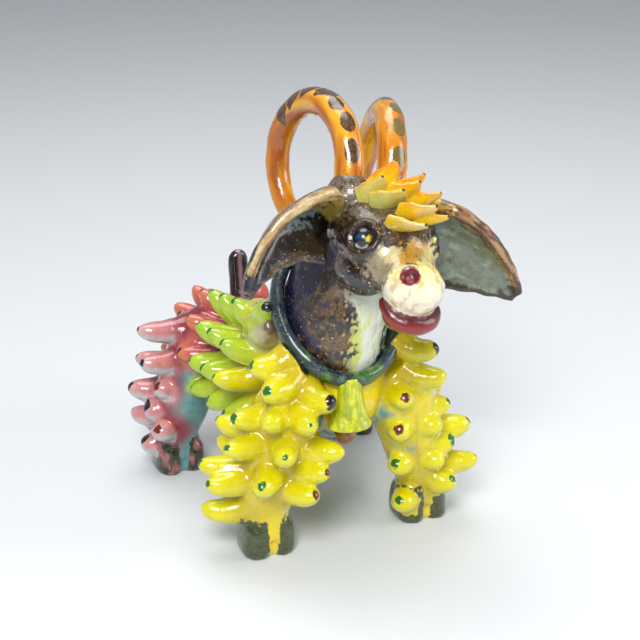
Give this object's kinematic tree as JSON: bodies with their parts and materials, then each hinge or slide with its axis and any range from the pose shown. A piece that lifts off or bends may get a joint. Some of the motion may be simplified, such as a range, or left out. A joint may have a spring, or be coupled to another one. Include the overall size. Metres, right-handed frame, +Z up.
{
  "type": "goat figurine",
  "caption": "Standing glazed goat figurine with looped horns, drooping ears, a collar with a bell and a coat of pulled clay tufts.",
  "frame": {"origin": "on the ground, in the middle of the goat's outline seen from above", "axes": "+Z up, the goat faces -Y, and +X is on its own left"},
  "size_m": [0.1664, 0.2228, 0.2307],
  "materials": {
    "glaze": "glossy glaze, mostly lemon yellow, over fired clay"
  },
  "bodies": {
    "root": {"goat": "glaze"}
  },
  "joints": []
}
